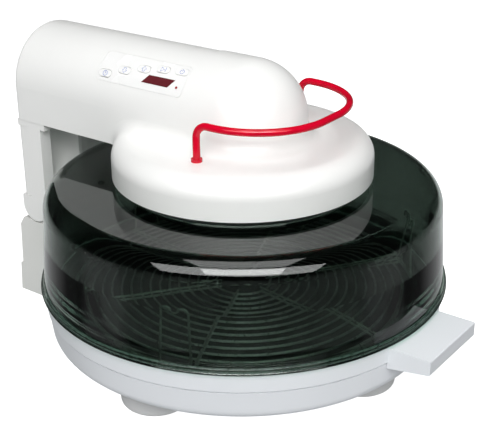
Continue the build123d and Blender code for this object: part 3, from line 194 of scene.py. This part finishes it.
def room_light():
    """A dim room whose floor glows beside and behind the object, and whose walls look pale."""
    world = bpy.data.worlds.new("room")
    bpy.context.scene.world = world
    world.use_nodes = True
    nodes, links = world.node_tree.nodes, world.node_tree.links
    place = nodes.new("ShaderNodeTexCoord")
    along = nodes.new("ShaderNodeVectorMath")
    along.operation = "DOT_PRODUCT"
    along.inputs[1].default_value = (CAMERA_LOOKS.x, CAMERA_LOOKS.y, 0)
    links.new(place.outputs["Generated"], along.inputs[0])
    split = nodes.new("ShaderNodeSeparateXYZ")
    links.new(place.outputs["Generated"], split.inputs["Vector"])
    glow = stepped(nodes, links, along.outputs["Value"], FLOOR_GLOW)
    below = faded(nodes, links, split.outputs["Z"], *HORIZON)
    glow = combined(nodes, links, "MULTIPLY", glow, below)
    dim = combined(nodes, links, "ADD", glow, ROOM_DIM)
    ray = nodes.new("ShaderNodeLightPath")
    seen = combined(nodes, links, "MULTIPLY", ray.outputs["Is Camera Ray"], ROOM_PALE)
    thrown = combined(nodes, links, "MULTIPLY", below, FLOOR_FILL)
    thrown = combined(nodes, links, "ADD", thrown, FILL)
    thrown = combined(nodes, links, "MULTIPLY", thrown, ray.outputs["Is Diffuse Ray"])
    strength = combined(nodes, links, "MAXIMUM", dim, seen)
    strength = combined(nodes, links, "MAXIMUM", strength, thrown)
    links.new(strength, nodes["Background"].inputs["Strength"])
    nodes["Background"].inputs["Color"].default_value = (*ROOM_COLOUR, 1)


room_light()
print("room", ROOM_DIM, "brightest floor glow", FLOOR_GLOW[-1][1])

# %% [markdown]
# ## The lamps
# Soft light comes from large sources. A broad panel overhead lights the tops, one near the
# camera lights the fronts.
# A wide strip, high and in front, is only there to be mirrored: it draws the bright line on
# the shoulder of the dome and adds no other light.

# %% Hang the soft panels
AIM = Vector((0, AXIS_Y, 0.12))


def soft_panel(name, place, size, power):
    """A flat lamp with that place, width, height and power, turned to the object."""
    lamp = bpy.data.lights.new(name, "AREA")
    lamp.shape = "RECTANGLE"
    lamp.size = size[0]
    lamp.size_y = size[1]
    lamp.energy = power
    panel = bpy.data.objects.new(name, lamp)
    bpy.context.scene.collection.objects.link(panel)
    panel.location = place
    panel.rotation_euler = (AIM - Vector(place)).to_track_quat("-Z", "Y").to_euler()
    return panel


def around_camera(turn, distance, height):
    """A place at that distance, turned by so many degrees from the camera's side of the object."""
    base = math.atan2(-CAMERA_LOOKS.y, -CAMERA_LOOKS.x) + math.radians(turn)
    return (distance * math.cos(base), AXIS_Y + distance * math.sin(base), height)


soft_panel("panel_top", around_camera(0, 0.3, 1.7), (1.0, 1.0), 10)
soft_panel("panel_key", around_camera(0, 1.5, 1.45), (1.3, 0.9), 31)
strip = soft_panel("panel_strip", around_camera(-3, 1.2, 1.15), (2.5, 1.0), 38)
strip.visible_diffuse = False
print("panels hung")

# %% [markdown]
# ## Helpers for finishes
# No real surface is one flat colour. Moulded plastic has a faint orange peel and cloudy
# gloss, and metal has the marks of its tool.
# All of these come from a few kinds of noise, so a few small helpers make them once.
# The noise is read in metres, which keeps each grain at its real size on every piece.

# %% A new finish
def new_finish(name, colour, roughness, metal=0.0):
    """A material with that name and starting values; details are added to it afterwards."""
    finish = bpy.data.materials.new(name)
    finish.use_nodes = True
    shader = finish.node_tree.nodes["Principled BSDF"]
    shader.inputs["Base Color"].default_value = (*colour, 1)
    shader.inputs["Roughness"].default_value = roughness
    shader.inputs["Metallic"].default_value = metal
    return finish


def shader_of(finish):
    """The shader at the end of a finish."""
    return finish.node_tree.nodes["Principled BSDF"]


# %% Noise that details are cut from
def speckle(finish, size_mm, detail=3.0, stretch=(1, 1, 1)):
    """Noise whose blobs are about that size; stretch above 1 makes them finer along an axis."""
    nodes, links = finish.node_tree.nodes, finish.node_tree.links
    place = nodes.new("ShaderNodeTexCoord")
    scale = nodes.new("ShaderNodeMapping")
    scale.inputs["Scale"].default_value = stretch
    noise = nodes.new("ShaderNodeTexNoise")
    noise.inputs["Scale"].default_value = 1 / (size_mm * MM)
    noise.inputs["Detail"].default_value = detail
    links.new(place.outputs["Object"], scale.inputs["Vector"])
    links.new(scale.outputs["Vector"], noise.inputs["Vector"])
    return noise.outputs["Fac"]


# %% Ways to use a mask
def tint(finish, mask, low, high, start=0.3, end=0.7):
    """Colours the finish from low to high as the mask goes from start to end."""
    nodes, links = finish.node_tree.nodes, finish.node_tree.links
    ramp = nodes.new("ShaderNodeValToRGB")
    ramp.color_ramp.elements[0].position = start
    ramp.color_ramp.elements[0].color = (*low, 1)
    ramp.color_ramp.elements[1].position = end
    ramp.color_ramp.elements[1].color = (*high, 1)
    links.new(mask, ramp.inputs["Fac"])
    links.new(ramp.outputs["Color"], shader_of(finish).inputs["Base Color"])


def polish(finish, mask, low, high):
    """Varies the roughness between low and high."""
    nodes, links = finish.node_tree.nodes, finish.node_tree.links
    spread = nodes.new("ShaderNodeMapRange")
    spread.inputs["From Min"].default_value = 0.3
    spread.inputs["From Max"].default_value = 0.7
    spread.inputs["To Min"].default_value = low
    spread.inputs["To Max"].default_value = high
    links.new(mask, spread.inputs["Value"])
    links.new(spread.outputs["Result"], shader_of(finish).inputs["Roughness"])


def relief(finish, mask, height_mm):
    """Raises the surface by that height where the mask is bright; a second call adds to the first."""
    nodes, links = finish.node_tree.nodes, finish.node_tree.links
    bump = nodes.new("ShaderNodeBump")
    bump.inputs["Distance"].default_value = height_mm * MM
    links.new(mask, bump.inputs["Height"])
    normal = shader_of(finish).inputs["Normal"]
    if normal.is_linked:
        links.new(normal.links[0].from_socket, bump.inputs["Normal"])
    links.new(bump.outputs["Normal"], normal)


def shade(colour, factor):
    """A colour made lighter or darker."""
    return tuple(min(1.0, part * factor) for part in colour)


FINISHES = {}
print("helpers ready")

# %% [markdown]
# ## White moulded shells
# The housings are glossy white plastic. Its gloss is never even: the melt leaves a very
# shallow orange peel, and years of wiping leave cloudy patches.
# One function makes every white plastic, because they differ only in tone and in grain.

# %% White plastics
def moulded_plastic(name, colour, gloss, peel_mm, peel_height):
    """Moulded plastic with cloudy gloss, a shallow orange peel and a fine grain."""
    finish = new_finish(name, colour, gloss)
    shader_of(finish).inputs["IOR"].default_value = 1.5
    tint(finish, speckle(finish, 60, detail=2), shade(colour, 0.985), shade(colour, 1.01))
    polish(finish, speckle(finish, 25, detail=3), gloss * 0.92, gloss * 1.1)
    relief(finish, speckle(finish, peel_mm, detail=2), peel_height)
    relief(finish, speckle(finish, 0.35, detail=2), 0.004)
    FINISHES[name] = finish
    return finish


moulded_plastic("shell_white", (0.85, 0.85, 0.835), 0.30, 5.0, 0.03)
moulded_plastic("bowl_white", (0.78, 0.80, 0.83), 0.34, 5.0, 0.03)
moulded_plastic("overlay_white", (0.86, 0.86, 0.85), 0.26, 3.0, 0.01)
moulded_plastic("key_white", (0.86, 0.86, 0.85), 0.30, 3.0, 0.01)
print("white plastics", sorted(FINISHES))

# %% [markdown]
# The stand is the same plastic from a mould that was lightly spark-eroded. Such a surface
# has a fine, even grain that takes the edge off the gloss, so it looks a touch greyer.

# %% Grained plastics
def grained_plastic(name, colour, gloss, grain_mm, grain_height):
    """Plastic from a spark-eroded mould: an even fine grain over cloudy gloss."""
    finish = moulded_plastic(name, colour, gloss, 6.0, 0.02)
    relief(finish, speckle(finish, grain_mm, detail=1), grain_height)


grained_plastic("stand_white", (0.76, 0.76, 0.735), 0.42, 0.5, 0.02)
grained_plastic("foot_grey", (0.66, 0.66, 0.66), 0.55, 0.6, 0.03)
grained_plastic("neck_black", (0.012, 0.013, 0.013), 0.42, 0.5, 0.02)
grained_plastic("module_black", (0.015, 0.015, 0.016), 0.45, 0.4, 0.015)
grained_plastic("bush_plastic", (0.62, 0.59, 0.52), 0.42, 0.6, 0.01)
print("grained plastics ready")

# %% [markdown]
# ## Smoked dome
# The dome is clear plastic with a green-black smoke tint. Glass shading gives it its sharp
# mirror lines and its bent view of the rack. Light from lamps is let straight through with
# a paler tint, because otherwise the cooking space would be lit by stray rays alone.
# A dome that is lifted off every day has hairline marks, so its gloss is slightly uneven.

# %% The smoked plastic
SMOKE = (0.145, 0.180, 0.160)
LAMP_TINT = 3.6       # how much paler the tint is for light that falls in from the lamps


def smoked_clear():
    """Tinted see-through plastic whose inside is still reached by the lamps."""
    finish = new_finish("smoked_clear", SMOKE, 0.02)
    nodes, links = finish.node_tree.nodes, finish.node_tree.links
    shader = shader_of(finish)
    shader.inputs["Transmission Weight"].default_value = 1.0
    shader.inputs["IOR"].default_value = 1.49
    polish(finish, speckle(finish, 30, detail=7), 0.008, 0.035)
    tint(finish, speckle(finish, 60, detail=3), shade(SMOKE, 0.94), shade(SMOKE, 1.06))
    ray = nodes.new("ShaderNodeLightPath")
    passing = nodes.new("ShaderNodeBsdfTransparent")
    passing.inputs["Color"].default_value = (*shade(SMOKE, LAMP_TINT), 1)
    choice = nodes.new("ShaderNodeMixShader")
    output = nodes["Material Output"]
    links.new(ray.outputs["Is Shadow Ray"], choice.inputs["Fac"])
    links.new(shader.outputs["BSDF"], choice.inputs[1])
    links.new(passing.outputs["BSDF"], choice.inputs[2])
    links.new(choice.outputs["Shader"], output.inputs["Surface"])
    FINISHES["smoked_clear"] = finish


smoked_clear()
print("smoke tint", SMOKE)

# %% [markdown]
# ## Metals
# Plated wire, zinc screws and ground pins are all metal, and differ in tone and in the
# direction of their scratches. Heat has browned the coil and the pan is black enamel.

# %% Plated and brushed metals
def scratched_metal(name, colour, gloss, stretch, height=0.004):
    """Metal whose fine scratches run along the axis that is stretched the least."""
    finish = new_finish(name, colour, gloss, metal=1.0)
    tint(finish, speckle(finish, 6, detail=6), shade(colour, 0.8), shade(colour, 1.08))
    polish(finish, speckle(finish, 2.5, detail=5, stretch=stretch), gloss * 0.7, gloss * 1.5)
    relief(finish, speckle(finish, 1.2, detail=4, stretch=stretch), height)
    FINISHES[name] = finish


scratched_metal("chrome_wire", (0.86, 0.86, 0.84), 0.34, (1, 1, 1), 0.002)
scratched_metal("hinge_steel", (0.58, 0.58, 0.57), 0.30, (0.1, 3, 3))
scratched_metal("screw_steel", (0.62, 0.61, 0.58), 0.28, (2, 2, 2))
scratched_metal("guard_steel", (0.42, 0.42, 0.42), 0.34, (2, 0.4, 2))
scratched_metal("shield_aluminium", (0.72, 0.72, 0.72), 0.30, (0.3, 3, 3))
scratched_metal("stack_steel", (0.28, 0.29, 0.31), 0.45, (0.3, 0.3, 12), 0.02)
scratched_metal("winding_copper", (0.60, 0.24, 0.08), 0.25, (1, 1, 5), 0.03)
scratched_metal("bearing_bronze", (0.55, 0.36, 0.16), 0.38, (2, 2, 2))
scratched_metal("coil_steel", (0.20, 0.17, 0.15), 0.45, (1, 1, 1), 0.01)
print("metals ready")

# %% [markdown]
# ## Red handle
# The lifting handle is a bent rod with a smooth red coating. Its base is nearly polished and
# has a very thin clear coat. The base mirrors less than bare plastic does, because strong
# white reflections would wash out the red.

# %% Coated and enamelled pieces
def coated(name, colour, under_gloss, coat, peel_mm=6.0, peel_height=0.02):
    """Paint or enamel: an even colour with faint mottle under a clear, slightly wavy coat."""
    finish = new_finish(name, colour, under_gloss)
    shader_of(finish).inputs["Coat Weight"].default_value = coat
    shader_of(finish).inputs["Coat Roughness"].default_value = 0.06
    tint(finish, speckle(finish, 12, detail=5), shade(colour, 0.9), shade(colour, 1.08))
    polish(finish, speckle(finish, 8, detail=4), under_gloss * 0.8, under_gloss * 1.2)
    relief(finish, speckle(finish, peel_mm, detail=2), peel_height)
    FINISHES[name] = finish
    return finish


lacquer = coated("red_lacquer", (0.62, 0.002, 0.022), 0.10, 0.05)
shader_of(lacquer).inputs["Specular IOR Level"].default_value = 0.3
coated("ceramic_white", (0.78, 0.75, 0.68), 0.40, 0.3)
coated("window_red", (0.13, 0.018, 0.024), 0.18, 1.0, peel_mm=10, peel_height=0.005)
coated("lamp_red", (0.35, 0.01, 0.015), 0.15, 1.0, peel_mm=10, peel_height=0.005)
coated("board_green", (0.02, 0.16, 0.06), 0.35, 0.6, peel_mm=1.5, peel_height=0.02)
print("coatings ready")

# %% Black enamel with white speckle
def dark_enamel():
    """The pan's enamel: near-black glass with tiny pale specks fired into it."""
    finish = coated("dark_enamel", (0.006, 0.008, 0.007), 0.42, 0.15, peel_mm=4)
    tint(finish, speckle(finish, 0.9, detail=1), (0.006, 0.008, 0.007), (0.16, 0.17, 0.16),
         start=0.70, end=0.74)


dark_enamel()
print("enamel ready")

# %% Rubber
def soft_rubber():
    """Black rubber: dull, with a powdery bloom that gathers in patches."""
    finish = new_finish("black_rubber", (0.02, 0.02, 0.02), 0.8)
    tint(finish, speckle(finish, 5, detail=6), (0.014, 0.014, 0.014), (0.045, 0.044, 0.042))
    polish(finish, speckle(finish, 3, detail=4), 0.65, 0.9)
    relief(finish, speckle(finish, 0.5, detail=2), 0.02)
    FINISHES["black_rubber"] = finish


soft_rubber()
print("finishes", len(FINISHES))

# %% [markdown]
# ## Painting the pieces
# The record that comes with the model says which material each piece is made of.
# The finishes are handed out from that list, so no piece can be forgotten.

# %% Hand out the finishes
def paint_pieces():
    """Gives every solid piece the finish of its own material, and returns how many there were."""
    count = 0
    for row in frame["record"]["subparts"]:
        piece = NODES[row["node"]]
        for slot in piece.material_slots:
            slot.material = FINISHES[row["material_slot"]]
        count += 1
    return count


print("painted", paint_pieces(), "pieces")

# %% [markdown]
# ## The rack as drawn wire
# The solid model keeps the rack's rings square, which is enough to catch a falling slice.
# The real rack is chromed round wire, and its look is all in the thin highlight that runs
# along each ring. A curve with a round bevel is the natural way to make wire: the path says
# where it goes, and one number says how thick it is.

# %% Wire as a curve
def wire_curve(name, wire_radius):
    """An empty curve whose paths are drawn as round wire."""
    curve = bpy.data.curves.new(name, "CURVE")
    curve.dimensions = "3D"
    curve.bevel_depth = wire_radius
    curve.bevel_resolution = 3
    piece = bpy.data.objects.new(name, curve)
    bpy.context.scene.collection.objects.link(piece)
    return piece


def add_path(piece, points, closed=False):
    """Adds one straight-sided path to a wire."""
    path = piece.data.splines.new("POLY")
    path.points.add(len(points) - 1)
    for point, place in zip(path.points, points):
        point.co = (*place, 1)
    path.use_cyclic_u = closed


def circle_points(radius, z, count=120):
    """Points round a level circle about the dome's axis."""
    turns = [2 * math.pi * i / count for i in range(count)]
    return [(radius * math.cos(t), AXIS_Y + radius * math.sin(t), z) for t in turns]


# %% Draw the rack
RACK_LOW, RACK_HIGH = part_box("wire_rack")
RACK_Z = (RACK_LOW[2] + RACK_HIGH[2]) / 2
RIM_WIRE = 1.75 * MM
RING_WIRE = 1.0 * MM
FIRST_RING = 24 * MM
RING_COUNT = 15
SPOKE_PAIRS = 6
SPOKE_START = 22              # degrees
SPOKE_OVERHANG = 4 * MM       # how far a spoke reaches in past the first ring
SPOKE_HEIGHT = 1.7            # a spoke's distance from the rings, in radii of their wire
RIM_INSET = 1.575 * MM        # from the rack's outer edge to the middle of its rim wire
RIM_RADIUS = RACK_HIGH[0] - RIM_INSET


def round_wire_rack():
    """Rings from the middle out, each pinched between an upper and a lower radial wire."""
    rack = wire_curve("rack_wires", RING_WIRE)
    pitch = (RIM_RADIUS - FIRST_RING) / RING_COUNT
    for i in range(RING_COUNT):
        add_path(rack, circle_points(FIRST_RING + pitch * i, RACK_Z), closed=True)
    for i in range(SPOKE_PAIRS):
        turn = math.radians(SPOKE_START + 360 / SPOKE_PAIRS * i)
        for side in (-1, 1):
            z = RACK_Z + side * SPOKE_HEIGHT * RING_WIRE
            ends = (FIRST_RING - SPOKE_OVERHANG, RIM_RADIUS)
            add_path(rack, [(r * math.cos(turn), AXIS_Y + r * math.sin(turn), z) for r in ends])
    return rack


def rack_rim():
    """The thicker wire round the outside, which the uprights and feet are welded to."""
    rim = wire_curve("rack_rim", RIM_WIRE)
    add_path(rim, circle_points(RIM_RADIUS, RACK_Z), closed=True)
    return rim


for wire in (round_wire_rack(), rack_rim()):
    wire.data.materials.append(FINISHES["chrome_wire"])
    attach(wire, "base")
    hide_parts("wire_rack")
print("rack rings", RING_COUNT, "rim radius", round(RIM_RADIUS, 4))

# %% [markdown]
# ## Printed marks on the keys
# Each key carries a small printed sign. Screen printing leaves ink a tenth of a millimetre
# thick, so the signs are thin raised lines and not a picture. Each sign rides on its own key
# and sinks with it. The key's sliding direction tells which way its cap faces.

# %% Find the face of a key
def key_face(name):
    """The middle of a key's cap with the directions to the right, up and out of it."""
    slide = next(j for j in frame["joints"] if j["child"] == name)
    out = -Vector(slide["axis"]).normalized()
    right = Vector((0, -1, 0))
    up = out.cross(right)
    corners = [v.co for v in NODES[name].data.vertices]
    reach = max(c.dot(out) for c in corners)
    middle_y = (min(c.y for c in corners) + max(c.y for c in corners)) / 2
    lift = (min(c.dot(up) for c in corners) + max(c.dot(up) for c in corners)) / 2
    return Vector((0, middle_y, 0)) + up * lift + out * reach, right, up


# %% Draw the signs
INK_WIDTH = 0.20 * MM
SIGN_SCALE = 1.3


def arrow_sign(direction):
    """An outlined block arrow that points up (1) or down (-1)."""
    outline = [(0, 1.9), (2.0, 0), (0.9, 0), (0.9, -1.7), (-0.9, -1.7), (-0.9, 0), (-2.0, 0)]
    return [([(x, y * direction) for x, y in outline], True)]


def round_sign(radius, gap=0.0, hand=None):
    """A circle, open at the top by that angle, with a line inside it."""
    start = math.pi / 2 + math.radians(gap)
    sweep = 2 * math.pi - 2 * math.radians(gap)
    ring = [(radius * math.cos(start + sweep * i / 24), radius * math.sin(start + sweep * i / 24))
            for i in range(25)]
    return [(ring, False), (hand, False)]


KEY_SIGNS = {
    "key_1": round_sign(1.5, gap=32, hand=[(0, 0.3), (0, 2.0)]),
    "key_2": [([(-1.6, -1.5), (-1.6, 1.5), (0.9, 0)], True), ([(1.9, -1.5), (1.9, 1.5)], False)],
    "key_3": arrow_sign(1),
    "key_4": arrow_sign(-1),
    "key_5": round_sign(1.7, hand=[(0, 1.1), (0, 0), (0.9, 0)]),
}

ink = coated("key_ink", (0.10, 0.16, 0.50), 0.5, 0.0, peel_mm=0.8, peel_height=0.01)


def key_sign(name, lines):
    """The printed lines of one key, just above its cap."""
    centre, right, up = key_face(name)
    sign = wire_curve(name + "_sign", INK_WIDTH)
    across = right * SIGN_SCALE * MM
    upward = up * SIGN_SCALE * MM
    for points, closed in lines:
        add_path(sign, [centre + across * x + upward * y for x, y in points], closed)
    sign.data.materials.append(ink)
    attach(sign, name)


for name, lines in KEY_SIGNS.items():
    key_sign(name, lines)
print("signs on", len(KEY_SIGNS), "keys")
